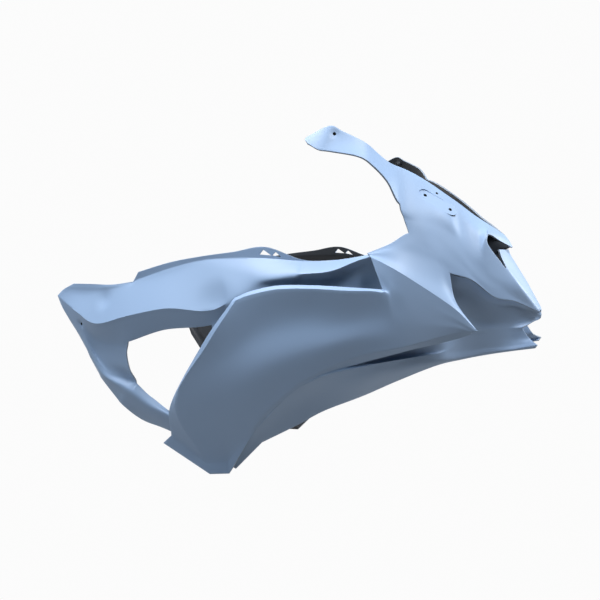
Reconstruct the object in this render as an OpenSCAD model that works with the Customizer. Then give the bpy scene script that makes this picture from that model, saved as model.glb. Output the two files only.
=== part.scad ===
// Upper fairing of a sports motorcycle, bare of fittings: a nose and wing
// moulding that spans both sides, an inner skin bonded in each side, and a
// blank that closes the lamp openings.
// Frame: the nose points to +X, the rider's left is +Y and up is +Z; the
// origin is under the middle of the fairing, level with its lowest edge.

/* [Overall size] */
// Nose tip to the tip of the tails
fairing_len = 1050; // [900:5:1200]
// Half of the width that the tables take as one
half_width = 240; // [200:1:280]
// Lowest flange to the top of the screen arms
fairing_height = 692; // [600:2:780]

/* [Shell] */
// Thickness of the nose and wing moulding
cowl_wall = 3.2; // [2.5:0.1:5]
// Thickness of the inner skins
skin_wall = 3; // [2.5:0.1:5]
// Thickness of the lamp blank
blank_wall = 3; // [2:0.1:5]

/* [Mirror pads] */
// Distance between the two stay screws
mirror_pitch = 50; // [40:1:70]
// Clearance hole for each M6 stay screw
mirror_hole_d = 6.6; // [5:0.1:9]
// Width of the flat pad under the stay
mirror_pad_w = 26; // [18:1:36]
// Depth of the flat below the paint around it
mirror_pad_sink = 1.2; // [0.4:0.1:2.5]
// Thickness of the pad
mirror_pad_t = 5; // [3:0.2:8]

/* [Screen and stay screws] */
// Hole for the screw that holds the windscreen
screen_hole_d = 5.2; // [4:0.1:7]
// Hole at the tip of each screen arm
arm_hole_d = 6.4; // [5:0.1:9]
// Round dimple that takes the screw head
dimple_d = 17; // [12:0.5:24]
// Depth of the dimple
dimple_sink = 1; // [0.4:0.1:2]
// Hole near the tip of each tail
tail_hole_d = 6.4; // [5:0.1:9]

/* [Top tab] */
// Length of the rear slot in the tab
slot_len = 26; // [14:1:34]
// Height of the rear slot
slot_h = 9; // [6:0.5:14]
// Size of the front slot against the rear one
front_slot_share = 0.8; // [0.5:0.05:1]

/* [Hidden] */
// Fine steps in each cell of a lattice, fore to aft and top to bottom
cowl_steps = [3, 2];
skin_steps = [3, 2];
blank_steps = [4, 3];
// How far a cut runs past what it cuts
overrun = 8;
// Middle of the length as a share of it
mid_share = 0.507;
// The lowest edge as a share of the height
low_share = -0.002;
$fn = 48;

// Control points of the nose and wing moulding, right half. One list per
// column, from the centre line back; each point is its row and then its
// shares of length, half width and height. Row 0 is the screen edge, row 2
// the brow edge and the lower edge of the arm, row 6 the lower edge of the
// cheek, row 8 the side crease, row 10 the top edge of the wing, row 14 its
// lower crease and row 15 the edge under it.
cowl_shares = [
    [[0, .938, 0, .73], [1, .946, 0, .713], [2, .952, 0, .697], [3, .939, 0, .693], [4, .95, 0, .653],
     [5, .976, 0, .596], [6, 1.003, 0, .531]],
    [[0, .927, .058, .743], [1, .934, .108, .726], [2, .936, .15, .713], [3, .938, .275, .692],
     [4, .948, .258, .653], [5, .974, .208, .599], [6, 1.001, .058, .538]],
    [[0, .914, .117, .758], [1, .917, .217, .743], [2, .921, .317, .73], [3, .923, .367, .704],
     [4, .949, .283, .645], [5, .972, .237, .592], [6, .998, .1, .533]],
    [[0, .893, .179, .781], [1, .899, .267, .746], [2, .905, .35, .708], [3, .913, .396, .671],
     [4, .929, .383, .635], [5, .947, .317, .597], [6, .966, .254, .561]],
    [[0, .871, .25, .809], [1, .876, .312, .784], [2, .882, .408, .74], [3, .891, .454, .698],
     [4, .902, .463, .656], [5, .919, .417, .614], [6, .937, .375, .573]],
    [[0, .85, .312, .834], [1, .856, .358, .815], [2, .865, .467, .767], [3, .873, .512, .725],
     [4, .881, .529, .686], [5, .89, .508, .649], [6, .904, .496, .617]],
    [[0, .824, .346, .863], [1, .829, .396, .844], [2, .84, .517, .79], [3, .848, .567, .747],
     [4, .856, .588, .708], [5, .864, .579, .67], [6, .873, .588, .635], [7, .885, .602, .565],
     [8, .919, .608, .498], [9, .918, .613, .497], [10, .917, .615, .496], [11, .915, .617, .495],
     [12, .914, .617, .494], [13, .913, .615, .493], [14, .911, .613, .492], [15, .915, .588, .485]],
    [[0, .801, .4, .886], [1, .805, .446, .87], [2, .817, .592, .799], [3, .826, .642, .756],
     [4, .834, .662, .72], [5, .842, .667, .688], [6, .85, .667, .657], [7, .864, .685, .607],
     [8, .886, .702, .554], [9, .885, .702, .542], [10, .885, .7, .53], [11, .884, .697, .519],
     [12, .884, .693, .508], [13, .883, .688, .499], [14, .883, .679, .49], [15, .884, .646, .473]],
    [[0, .785, .458, .899], [1, .784, .508, .888], [2, .796, .688, .803], [3, .803, .688, .764],
     [4, .812, .7, .732], [5, .814, .717, .708], [6, .817, .75, .681], [7, .821, .792, .65],
     [8, .825, .84, .623], [9, .826, .84, .597], [10, .828, .835, .571], [11, .829, .829, .542],
     [12, .829, .821, .515], [13, .829, .808, .489], [14, .829, .792, .464], [15, .828, .754, .45]],
    [[0, .768, .546, .911], [1, .77, .592, .897], [2, .78, .75, .855], [4, .786, .775, .706],
     [5, .787, .787, .697], [6, .787, .808, .686], [7, .789, .833, .669], [8, .793, .869, .652],
     [9, .796, .875, .622], [10, .801, .877, .593], [11, .801, .873, .557], [12, .801, .865, .522],
     [13, .801, .852, .486], [14, .8, .833, .451], [15, .799, .796, .436]],
    [[0, .756, .646, .929], [1, .758, .704, .915], [2, .76, .804, .892], [4, .752, .829, .683],
     [5, .754, .832, .681], [6, .755, .835, .68], [7, .757, .838, .678], [8, .76, .858, .675],
     [9, .771, .875, .639], [10, .783, .887, .597], [11, .783, .908, .59], [12, .772, .896, .532],
     [13, .759, .883, .479], [14, .745, .867, .429], [15, .743, .825, .407]],
    [[0, .739, .725, .955], [1, .738, .775, .938], [2, .738, .842, .916], [10, .726, .929, .601],
     [11, .727, .963, .593], [12, .713, .935, .519], [13, .698, .927, .451], [14, .676, .892, .378],
     [15, .678, .863, .368]],
    [[0, .703, .769, .985], [1, .695, .819, .96], [2, .691, .875, .932], [10, .665, .95, .603],
     [11, .667, .985, .595], [12, .653, .954, .519], [13, .637, .948, .421], [14, .612, .875, .314],
     [15, .616, .858, .307]],
    [[0, .681, .792, 1], [1, .676, .838, .97], [2, .67, .887, .938], [10, .601, .954, .599],
     [11, .604, .99, .59], [12, .58, .958, .489], [13, .563, .929, .364], [14, .536, .787, .201],
     [15, .539, .767, .195]],
    [[0, .643, .821, .977], [1, .641, .842, .969], [2, .649, .867, .957], [10, .549, .954, .582],
     [11, .551, .99, .572], [12, .506, .958, .437], [13, .466, .879, .284], [14, .45, .667, .051],
     [15, .449, .646, .009]],
    [[10, .521, .95, .566], [11, .522, .988, .556], [12, .457, .979, .428], [13, .356, .867, .226],
     [14, .401, .696, .037], [15, .405, .671, -0.002]],
    [[10, .512, .938, .561], [11, .509, .963, .551], [12, .443, .954, .429], [13, .341, .842, .223],
     [14, .32, .738, .108], [15, .293, .717, .074]]
];
// Cells of that lattice that are open: first column, end column, first row, end row
cowl_gap_shares = [[0, 2, 2, 3], [1, 2, 3, 4]];
// Creases across rows and across columns: line, and where it starts and ends
cowl_row_folds = [[2, 0, 2], [8, 6, 10], [11, 10, 16], [14, 6, 16]];
cowl_column_folds = [[1, 3, 6], [14, 14, 15], [15, 10, 15]];

// Control points of the right inner skin in the same form, from the chin back
// to the tail. Row 0 is the top edge, row 1 the groove under the tab, row 2
// the shoulder, row 5 the fold above the chin, row 8 the joint under the wing
// and row 10 the lower edge.
skin_shares = [
    [[0, 1.002, .005, .53], [1, 1.003, .005, .52], [2, 1.001, .005, .51], [3, .993, .058, .505],
     [4, .985, .113, .499], [5, .976, .167, .493], [6, .98, .154, .48], [7, .988, .146, .464],
     [8, .995, .171, .457], [9, 1.001, .2, .451], [10, .998, .183, .441]],
    [[0, .966, .242, .56], [1, .965, .202, .549], [2, .965, .196, .539], [3, .961, .192, .521],
     [4, .957, .188, .504], [5, .953, .196, .489], [6, .955, .188, .474], [7, .958, .179, .458],
     [8, .963, .179, .445], [9, .965, .192, .435], [10, .963, .175, .429]],
    [[0, .937, .365, .572], [1, .933, .317, .559], [2, .931, .3, .547], [3, .928, .279, .527],
     [4, .925, .267, .507], [5, .924, .275, .488], [6, .924, .263, .471], [7, .924, .25, .454],
     [8, .924, .237, .437], [9, .924, .233, .423], [10, .922, .217, .416]],
    [[0, .903, .473, .616], [1, .899, .429, .599], [2, .895, .412, .583], [3, .892, .396, .551],
     [4, .889, .383, .52], [5, .888, .388, .49], [6, .887, .375, .47], [7, .886, .362, .45],
     [8, .885, .35, .43], [9, .885, .342, .411], [10, .883, .325, .404]],
    [[0, .869, .529, .634], [1, .865, .519, .616], [2, .862, .508, .598], [3, .859, .508, .563],
     [4, .857, .508, .527], [5, .856, .517, .494], [6, .855, .529, .469], [7, .854, .467, .448],
     [8, .855, .537, .43], [9, .853, .533, .41], [10, .849, .496, .394]],
    [[0, .8, .688, .7], [1, .801, .704, .693], [2, .804, .733, .678], [3, .802, .708, .637],
     [4, .804, .717, .588], [5, .806, .742, .539], [6, .803, .667, .491], [7, .8, .583, .442],
     [8, .805, .658, .417], [9, .793, .65, .385], [10, .784, .529, .345]],
    [[0, .744, .758, .678], [1, .746, .771, .674], [2, .748, .8, .671], [3, .745, .758, .636],
     [4, .746, .767, .586], [5, .748, .792, .536], [6, .75, .808, .484], [7, .749, .75, .438],
     [8, .758, .804, .404], [9, .746, .742, .361], [10, .726, .571, .298]],
    [[0, .679, .729, .664], [1, .68, .742, .66], [2, .691, .85, .638], [3, .685, .792, .598],
     [4, .685, .808, .557], [5, .684, .833, .507], [6, .682, .867, .456], [7, .674, .858, .408],
     [8, .678, .875, .367], [9, .656, .742, .305], [10, .654, .608, .245]],
    [[0, .621, .733, .664], [1, .623, .748, .661], [2, .635, .863, .628], [3, .628, .825, .593],
     [4, .627, .846, .544], [5, .623, .863, .486], [6, .619, .879, .423], [7, .608, .858, .358],
     [8, .611, .85, .302], [9, .595, .733, .242], [10, .6, .625, .193]],
    [[0, .549, .742, .698], [1, .552, .758, .667], [2, .568, .867, .618], [3, .567, .863, .591],
     [4, .565, .879, .54], [5, .556, .887, .475], [6, .546, .883, .397], [7, .534, .846, .313],
     [8, .537, .767, .191], [9, .521, .7, .15], [10, .524, .625, .124]],
    [[0, .48, .744, .684], [1, .484, .758, .667], [2, .501, .829, .623], [3, .512, .9, .564],
     [4, .507, .883, .531], [5, .5, .887, .469], [6, .482, .85, .38], [7, .46, .775, .265],
     [8, .443, .654, .047], [9, .452, .633, .033], [10, .46, .608, .023]],
    [[0, .409, .748, .671], [1, .413, .76, .66], [2, .421, .796, .631], [3, .452, .929, .521],
     [4, .45, .879, .477], [5, .455, .887, .421], [6, .424, .838, .341], [7, .355, .738, .178],
     [8, .35, .771, .162], [9, .338, .75, .138], [10, .324, .717, .114]],
    [[0, .331, .754, .652], [1, .333, .767, .634], [2, .339, .804, .602], [3, .354, .925, .519],
     [4, .331, .854, .449], [7, .278, .767, .223], [8, .275, .8, .204], [9, .262, .779, .175],
     [10, .241, .725, .138]],
    [[0, .246, .758, .619], [1, .245, .767, .596], [2, .246, .8, .57], [3, .258, .912, .491],
     [4, .231, .838, .4], [5, .223, .829, .36], [6, .228, .817, .308], [7, .24, .792, .266],
     [8, .232, .825, .241], [9, .215, .804, .212], [10, .199, .775, .18]],
    [[0, .234, .767, .589], [1, .233, .771, .584], [2, .226, .798, .564], [3, .229, .908, .48],
     [4, .204, .833, .4], [5, .198, .821, .366], [6, .2, .812, .317], [7, .215, .796, .275],
     [8, .205, .825, .255], [9, .191, .804, .232], [10, .175, .775, .208]],
    [[0, .175, .771, .577], [1, .173, .775, .571], [2, .161, .792, .543], [3, .15, .89, .453],
     [4, .135, .817, .404], [5, .134, .804, .369], [6, .139, .8, .333], [7, .161, .808, .292],
     [8, .157, .825, .278], [9, .148, .804, .265], [10, .139, .783, .26]],
    [[0, .117, .777, .576], [1, .111, .779, .567], [2, .095, .79, .539], [3, .084, .85, .485],
     [4, .092, .833, .443], [5, .098, .825, .415], [6, .107, .823, .384], [7, .118, .821, .348],
     [8, .126, .817, .316], [9, .13, .8, .293], [10, .128, .779, .28]],
    [[0, .062, .783, .575], [1, .048, .787, .566], [2, .03, .792, .553], [3, .012, .796, .532],
     [4, .026, .8, .495], [5, .043, .8, .462], [6, .056, .798, .438], [7, .069, .796, .415],
     [8, .079, .792, .394], [9, .089, .785, .372], [10, .103, .779, .33]]
];
// The window in the tail
skin_gap_shares = [[11, 13, 4, 7]];
skin_row_folds = [[5, 0, 2], [8, 4, 10], [1, 7, 14], [2, 6, 8], [3, 12, 17]];
skin_column_folds = [[9, 8, 10], [10, 8, 10], [13, 0, 1], [14, 0, 1]];

// Control points of the lamp blank, right half, from the centre line out
blank_shares = [
    [[0, .9405, 0, .72], [1, .947, 0, .6985], [2, .9335, 0, .689]],
    [[0, .934, .132, .717], [1, .9405, .14, .6965], [2, .9325, .15, .688]],
    [[0, .925, .226, .726], [1, .914, .285, .697], [2, .928, .27, .657]],
    [[0, .9165, .28, .733], [1, .903, .333, .695], [2, .918, .325, .658]],
    [[0, .901, .304, .726], [1, .906, .359, .696], [2, .917, .387, .659]]
];

// A control point as a place on the right side
function place(share) =
    [(share[0] - mid_share) * fairing_len, -share[1] * half_width,
     (share[2] - low_share) * fairing_height];
function other_side(p) = [p[0], -p[1], p[2]];

// The point in row of one column, or undef where that column has none
function in_row(column, row) =
    let (hit = [for (q = column) if (q[0] == row) place([q[1], q[2], q[3]])]) hit[0];

// Between b and c on the cubic that also heads from a and towards d
function between(a, b, c, d, t) =
    let (start = (c - a) / 2, end = (d - b) / 2, s = 1 - t)
    (1 + 2 * t) * s * s * b + t * s * s * start + t * t * (3 - 2 * t) * c - t * t * s * end;

// Fine points along one line of the lattice. A missing point leaves a gap, and
// a fold breaks the curve.
function strand(pts, steps, folds) = [
    for (k = [0 : len(pts) - 2], i = [0 : steps - 1])
        let (b = pts[k], c = pts[k + 1])
        i == 0 || is_undef(b) || is_undef(c) ? (i == 0 ? b : undef)
        : let (before = k > 0 && !folds[k] ? pts[k - 1] : undef,
               after = folds[k + 1] ? undef : pts[k + 2],
               a = is_undef(before) ? 2 * b - c : before,
               d = is_undef(after) ? 2 * c - b : after)
            between(a, b, c, d, i / steps),
    pts[len(pts) - 1]
];

function is_fold(folds, line, at) =
    len([for (f = folds) if (f[0] == line && at >= f[1] && at <= f[2]) f]) > 0;

// The fine grid of a lattice: one list of points per fine column. With mirrored
// set, the first column is the centre line and takes its slope from both sides.
function fine_grid(table, rows, steps, row_folds, column_folds, mirrored) =
    let (cols = len(table),
         lead = mirrored ? 1 : 0,
         along = [for (r = [0 : rows - 1])
             let (line = [for (c = [0 : cols - 1]) in_row(table[c], r)],
                  pts = mirrored
                      ? concat([is_undef(line[1]) ? undef : other_side(line[1])], line) : line,
                  folds = [for (c = [-lead : cols - 1]) is_fold(column_folds, c, r)],
                  all = strand(pts, steps[0], folds))
             [for (i = [lead * steps[0] : len(all) - 1]) all[i]]])
    [for (i = [0 : (cols - 1) * steps[0]])
        strand([for (r = [0 : rows - 1]) along[r][i]], steps[1],
               [for (r = [0 : rows - 1]) is_fold(row_folds, r, i / steps[0])])];

// Both halves of a grid whose first column is the centre line
function both_halves(half) = concat(
    [for (i = [len(half) - 1 : -1 : 1]) [for (p = half[i]) is_undef(p) ? undef : other_side(p)]],
    half);

// Which cells of a fine grid are part of the skin; middle is the fine column
// of the centre line
function solid_cells(grid, steps, gaps, middle) = [
    for (i = [0 : len(grid) - 2]) [
        for (j = [0 : len(grid[0]) - 2])
            let (c = floor((i < middle ? middle - 1 - i : i - middle) / steps[0]),
                 r = floor(j / steps[1]),
                 open = len([for (g = gaps)
                     if (c >= g[0] && c < g[1] && r >= g[2] && r < g[3]) g]) > 0)
            !open && !is_undef(grid[i][j]) && !is_undef(grid[i + 1][j])
            && !is_undef(grid[i][j + 1]) && !is_undef(grid[i + 1][j + 1])
    ]
];
function has(cells, i, j) = i >= 0 && j >= 0 && cells[i][j] == true;

// The neighbour of a grid point, or the point itself where the skin ends
function beside(grid, cells, i, j, di, dj) =
    let (u = min(i, i + di), v = min(j, j + dj),
         joined = di != 0 ? has(cells, u, j - 1) || has(cells, u, j)
                          : has(cells, i - 1, v) || has(cells, i, v))
    joined ? grid[i + di][j + dj] : grid[i][j];

// The outward direction at a grid point
function outward(grid, cells, i, j) =
    let (along = beside(grid, cells, i, j, 1, 0) - beside(grid, cells, i, j, -1, 0),
         down = beside(grid, cells, i, j, 0, 1) - beside(grid, cells, i, j, 0, -1),
         n = cross(along, down), size = norm(n))
    size > 0 ? n / size : [0, 0, 0];

// A closed shell: the grid outside, the same grid moved in by the wall inside,
// and a rim along every edge
module shell(grid, cells, wall) {
    wide = len(grid);
    deep = len(grid[0]);
    spread = wide * deep;
    outer = [for (i = [0 : wide - 1], j = [0 : deep - 1])
        is_undef(grid[i][j]) ? [0, 0, 0] : grid[i][j]];
    inner = [for (i = [0 : wide - 1], j = [0 : deep - 1])
        is_undef(grid[i][j]) ? [0, 0, 0] : grid[i][j] - wall * outward(grid, cells, i, j)];
    polyhedron(concat(outer, inner), [
        for (i = [0 : wide - 2], j = [0 : deep - 2]) if (cells[i][j])
            let (a = i * deep + j, b = a + deep, c = b + 1, d = a + 1, s = spread)
            each concat(
                [[a, d, c], [a, c, b], [a + s, c + s, d + s], [a + s, b + s, c + s]],
                has(cells, i, j - 1) ? [] : [[a, b, b + s], [a, b + s, a + s]],
                has(cells, i + 1, j) ? [] : [[b, c, c + s], [b, c + s, b + s]],
                has(cells, i, j + 1) ? [] : [[c, d, d + s], [c, d + s, c + s]],
                has(cells, i - 1, j) ? [] : [[d, a, a + s], [d, a + s, d + s]])
    ]);
}

// Sets its children on a grid point: +Z points outward and +X along the columns
module on_skin(grid, cells, i, j) {
    n = outward(grid, cells, i, j);
    along = beside(grid, cells, i, j, 1, 0) - beside(grid, cells, i, j, -1, 0);
    x = (along - (along * n) * n) / norm(along - (along * n) * n);
    y = cross(n, x);
    p = grid[i][j];
    multmatrix([[x[0], y[0], n[0], p[0]], [x[1], y[1], n[1], p[1]], [x[2], y[2], n[2], p[2]]])
        children();
}

cowl_half = fine_grid(cowl_shares, 16, cowl_steps, cowl_row_folds, cowl_column_folds, true);
cowl_grid = both_halves(cowl_half);
cowl_middle = len(cowl_half) - 1;
cowl_cells = solid_cells(cowl_grid, cowl_steps, cowl_gap_shares, cowl_middle);

skin_grid = fine_grid(skin_shares, 11, skin_steps, skin_row_folds, skin_column_folds, false);
skin_cells = solid_cells(skin_grid, skin_steps, skin_gap_shares, 0);

blank_half = fine_grid(blank_shares, 3, blank_steps, [], [], true);
blank_grid = both_halves(blank_half);
blank_cells = solid_cells(blank_grid, blank_steps, [], len(blank_half) - 1);

// Fine column and row of each screw, counted from the centre line and the top
mirror_spot = [17, 3];
screen_spot = [17, 2];
arm_spot = [37, 1];
tail_spot = [48, 8];
slot_spot = [27, 1];

// Corners of a slot as shares of its length and height, the peak at the top
slot_outline_shares = [[-.5, .5], [.5, .5], [.25, -.5], [.12, -.5]];

// Stands its children on the cowl at a spot of the right side and of the left
module both_sides(spot) {
    for (side = [1, -1])
        on_skin(cowl_grid, cowl_cells, cowl_middle + side * spot[0], spot[1]) children();
}

// The outline of a pad round two screws
module pad_outline() {
    for (side = [-1, 1]) translate([side * mirror_pitch / 2, 0]) circle(d = mirror_pad_w);
    square([mirror_pitch, mirror_pad_w], center = true);
}

// A hole through the skin, along the outward direction
module drilling(d, wall) {
    translate([0, 0, -wall - overrun]) cylinder(d = d, h = wall + 2 * overrun);
}

module upper_cowl() {
    color([0.6, 0.7, 0.85])
    difference() {
        union() {
            difference() {
                shell(cowl_grid, cowl_cells, cowl_wall);
                both_sides(mirror_spot)
                    translate([0, 0, -mirror_pad_sink]) linear_extrude(overrun) pad_outline();
            }
            both_sides(mirror_spot)
                translate([0, 0, -mirror_pad_sink - mirror_pad_t])
                    linear_extrude(mirror_pad_t) pad_outline();
        }
        both_sides(mirror_spot)
            for (side = [-1, 1])
                translate([side * mirror_pitch / 2, 0, 0]) drilling(mirror_hole_d, mirror_pad_t);
        both_sides(screen_spot) drilling(screen_hole_d, cowl_wall);
        both_sides(arm_spot) {
            drilling(arm_hole_d, cowl_wall);
            translate([0, 0, -dimple_sink]) cylinder(d = dimple_d, h = overrun);
        }
    }
}

module side_panel_right() {
    color([0.5, 0.6, 0.75])
    difference() {
        shell(skin_grid, skin_cells, skin_wall);
        on_skin(skin_grid, skin_cells, tail_spot[0], tail_spot[1])
            drilling(tail_hole_d, skin_wall);
        for (k = [0, 1])
            on_skin(skin_grid, skin_cells, slot_spot[0] - k, slot_spot[1])
                translate([0, 0, -skin_wall - overrun])
                    linear_extrude(skin_wall + 2 * overrun)
                        scale(k == 0 ? 1 : front_slot_share)
                            polygon([for (q = slot_outline_shares) [q[0] * slot_len, q[1] * slot_h]]);
    }
}

module side_panel_left() {
    mirror([0, 1, 0]) side_panel_right();
}

module headlight_blank() {
    color([0.15, 0.18, 0.2])
        shell(blank_grid, blank_cells, blank_wall);
}

upper_cowl();
side_panel_right();
side_panel_left();
headlight_blank();
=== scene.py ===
"""The bare upper fairing of a sports motorcycle, dressed for a plain studio.

The nose and wing moulding, the two inner skins and the lamp blank are thin
shells over control points. Each shell is worked out as whole numpy
arrays and then trimmed with its screw holes, slots and pads.
"""
import logging
import math
from dataclasses import dataclass, field
from enum import Enum
from typing import Any, Optional, Sequence, Union

import bpy
import numpy as np
from mathutils import Matrix, Vector


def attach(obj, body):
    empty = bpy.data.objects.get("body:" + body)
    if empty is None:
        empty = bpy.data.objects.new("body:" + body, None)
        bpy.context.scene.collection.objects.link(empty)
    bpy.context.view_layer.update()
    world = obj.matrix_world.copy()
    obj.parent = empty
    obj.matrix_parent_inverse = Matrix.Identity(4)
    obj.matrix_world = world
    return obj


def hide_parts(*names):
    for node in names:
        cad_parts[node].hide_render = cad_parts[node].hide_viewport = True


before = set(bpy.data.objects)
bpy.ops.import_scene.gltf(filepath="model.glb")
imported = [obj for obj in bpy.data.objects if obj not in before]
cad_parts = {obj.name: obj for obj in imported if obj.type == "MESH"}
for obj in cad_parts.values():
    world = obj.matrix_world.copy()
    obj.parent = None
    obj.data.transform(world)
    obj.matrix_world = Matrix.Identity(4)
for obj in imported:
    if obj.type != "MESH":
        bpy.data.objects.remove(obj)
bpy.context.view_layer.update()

LOG = logging.getLogger("fairing")

Grid = np.ndarray
Point = tuple[float, ...]
Columns = tuple[tuple[Point, ...], ...]
Reach = tuple[float, float]
MM = 0.001

# A vector shorter than TINY counts as zero, and missing points lie FAR away
TINY = 1e-12
FAR = 1e6

# Sizes of the whole fairing, in millimetres
FAIRING_LEN = 1050.0
HALF_WIDTH = 240.0
FAIRING_HEIGHT = 692.0

# Share of the length at X = 0, and share of the height at Z = 0
MID_SHARE = 0.507
LOW_SHARE = -0.002

# Wall of the screws' sleeves, and where they start behind the paint
SLEEVE_WALL = 2.0
SLEEVE_START = 2.0

# Control points by column: row, then shares of length, half width and height.
# The upper cowl, from the centre line out over the cheek to the wing's rear edge
COWL_COLUMNS: Columns = (
    ((0, 0.938, 0, 0.73), (1, 0.946, 0, 0.713), (2, 0.952, 0, 0.697), (3, 0.943, 0, 0.691),
     (4, 0.957, 0, 0.655), (5, 0.98, 0, 0.598), (6, 1.003, 0, 0.531)),
    ((0, 0.927, 0.058, 0.743), (1, 0.934, 0.108, 0.726), (2, 0.936, 0.15, 0.713),
     (3, 0.938, 0.275, 0.692), (4, 0.948, 0.258, 0.653), (5, 0.974, 0.208, 0.599),
     (6, 1.001, 0.058, 0.538)),
    ((0, 0.914, 0.117, 0.758), (1, 0.918, 0.258, 0.742), (2, 0.921, 0.321, 0.73),
     (3, 0.923, 0.354, 0.704), (4, 0.949, 0.283, 0.645), (5, 0.972, 0.237, 0.592),
     (6, 0.998, 0.1, 0.533)),
    ((0, 0.893, 0.179, 0.781), (1, 0.901, 0.317, 0.746), (2, 0.907, 0.381, 0.708),
     (3, 0.914, 0.41, 0.671), (4, 0.929, 0.379, 0.635), (5, 0.947, 0.325, 0.597),
     (6, 0.966, 0.254, 0.561)),
    ((0, 0.871, 0.25, 0.809), (1, 0.876, 0.312, 0.784), (2, 0.882, 0.408, 0.74),
     (3, 0.891, 0.454, 0.698), (4, 0.902, 0.461, 0.656), (5, 0.919, 0.429, 0.614),
     (6, 0.937, 0.371, 0.573)),
    ((0, 0.85, 0.312, 0.834), (1, 0.856, 0.358, 0.815), (2, 0.865, 0.467, 0.767),
     (3, 0.872, 0.498, 0.725), (4, 0.88, 0.519, 0.686), (5, 0.89, 0.515, 0.649),
     (6, 0.904, 0.487, 0.617)),
    ((0, 0.824, 0.346, 0.863), (1, 0.829, 0.396, 0.844), (2, 0.84, 0.517, 0.79),
     (3, 0.848, 0.56, 0.747), (4, 0.856, 0.583, 0.708), (5, 0.865, 0.593, 0.67),
     (6, 0.873, 0.59, 0.635), (7, 0.885, 0.602, 0.565), (8, 0.919, 0.608, 0.498),
     (9, 0.918, 0.613, 0.497), (10, 0.917, 0.615, 0.496), (11, 0.915, 0.617, 0.495),
     (12, 0.914, 0.617, 0.494), (13, 0.913, 0.615, 0.493), (14, 0.911, 0.613, 0.492),
     (15, 0.911, 0.606, 0.489)),
    ((0, 0.801, 0.4, 0.886), (1, 0.805, 0.446, 0.87), (2, 0.817, 0.592, 0.799),
     (3, 0.826, 0.637, 0.756), (4, 0.834, 0.655, 0.72), (5, 0.841, 0.665, 0.688),
     (6, 0.85, 0.667, 0.657), (7, 0.864, 0.685, 0.607), (8, 0.886, 0.702, 0.554),
     (9, 0.885, 0.702, 0.542), (10, 0.885, 0.7, 0.53), (11, 0.884, 0.697, 0.519),
     (12, 0.884, 0.693, 0.508), (13, 0.883, 0.688, 0.499), (14, 0.883, 0.679, 0.49),
     (15, 0.884, 0.646, 0.473)),
    ((0, 0.785, 0.458, 0.899), (1, 0.784, 0.508, 0.888), (2, 0.796, 0.688, 0.803),
     (3, 0.804, 0.695, 0.764), (4, 0.812, 0.704, 0.732), (5, 0.815, 0.724, 0.708),
     (6, 0.817, 0.75, 0.681), (7, 0.821, 0.792, 0.65), (8, 0.825, 0.84, 0.623),
     (9, 0.826, 0.84, 0.597), (10, 0.828, 0.835, 0.571), (11, 0.829, 0.829, 0.542),
     (12, 0.829, 0.821, 0.515), (13, 0.829, 0.808, 0.489), (14, 0.829, 0.792, 0.464),
     (15, 0.828, 0.754, 0.45)),
    ((0, 0.768, 0.546, 0.911), (1, 0.77, 0.592, 0.897), (2, 0.78, 0.75, 0.855),
     (4, 0.786, 0.775, 0.706), (5, 0.787, 0.787, 0.697), (6, 0.787, 0.808, 0.686),
     (7, 0.789, 0.833, 0.669), (8, 0.793, 0.869, 0.652), (9, 0.796, 0.875, 0.622),
     (10, 0.801, 0.877, 0.593), (11, 0.801, 0.873, 0.557), (12, 0.801, 0.865, 0.522),
     (13, 0.801, 0.852, 0.486), (14, 0.8, 0.833, 0.451), (15, 0.799, 0.796, 0.436)),
    ((0, 0.756, 0.646, 0.929), (1, 0.758, 0.704, 0.915), (2, 0.76, 0.804, 0.892),
     (4, 0.752, 0.829, 0.683), (5, 0.754, 0.832, 0.681), (6, 0.755, 0.835, 0.68),
     (7, 0.757, 0.838, 0.678), (8, 0.76, 0.858, 0.675), (9, 0.771, 0.875, 0.639),
     (10, 0.783, 0.887, 0.597), (11, 0.783, 0.908, 0.59), (12, 0.771, 0.887, 0.532),
     (13, 0.76, 0.89, 0.479), (14, 0.745, 0.867, 0.429), (15, 0.743, 0.825, 0.407)),
    ((0, 0.739, 0.725, 0.955), (1, 0.738, 0.775, 0.938), (2, 0.738, 0.842, 0.916),
     (10, 0.726, 0.929, 0.601), (11, 0.727, 0.963, 0.593), (12, 0.712, 0.927, 0.518),
     (13, 0.699, 0.938, 0.452), (14, 0.676, 0.892, 0.378), (15, 0.678, 0.863, 0.368)),
    ((0, 0.703, 0.769, 0.985), (1, 0.695, 0.819, 0.96), (2, 0.691, 0.875, 0.932),
     (10, 0.665, 0.95, 0.603), (11, 0.667, 0.985, 0.595), (12, 0.651, 0.942, 0.518),
     (13, 0.638, 0.954, 0.422), (14, 0.612, 0.875, 0.314), (15, 0.616, 0.858, 0.307)),
    ((0, 0.681, 0.792, 1), (1, 0.676, 0.838, 0.97), (2, 0.67, 0.887, 0.938),
     (10, 0.601, 0.954, 0.599), (11, 0.604, 0.99, 0.59), (12, 0.578, 0.948, 0.488),
     (13, 0.565, 0.942, 0.365), (14, 0.536, 0.787, 0.201), (15, 0.539, 0.767, 0.195)),
    ((0, 0.643, 0.821, 0.977), (1, 0.641, 0.842, 0.969), (2, 0.649, 0.867, 0.957),
     (10, 0.549, 0.954, 0.582), (11, 0.551, 0.99, 0.572), (12, 0.506, 0.954, 0.437),
     (13, 0.468, 0.892, 0.285), (14, 0.45, 0.667, 0.051), (15, 0.451, 0.662, 0.012)),
    ((10, 0.521, 0.95, 0.566), (11, 0.522, 0.988, 0.556), (12, 0.457, 0.979, 0.428),
     (13, 0.356, 0.867, 0.226), (14, 0.401, 0.696, 0.037), (15, 0.409, 0.692, 0.002)),
    ((10, 0.512, 0.938, 0.561), (11, 0.509, 0.963, 0.551), (12, 0.443, 0.954, 0.429),
     (13, 0.341, 0.842, 0.223), (14, 0.32, 0.738, 0.108), (15, 0.297, 0.733, 0.077)),
)

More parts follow.
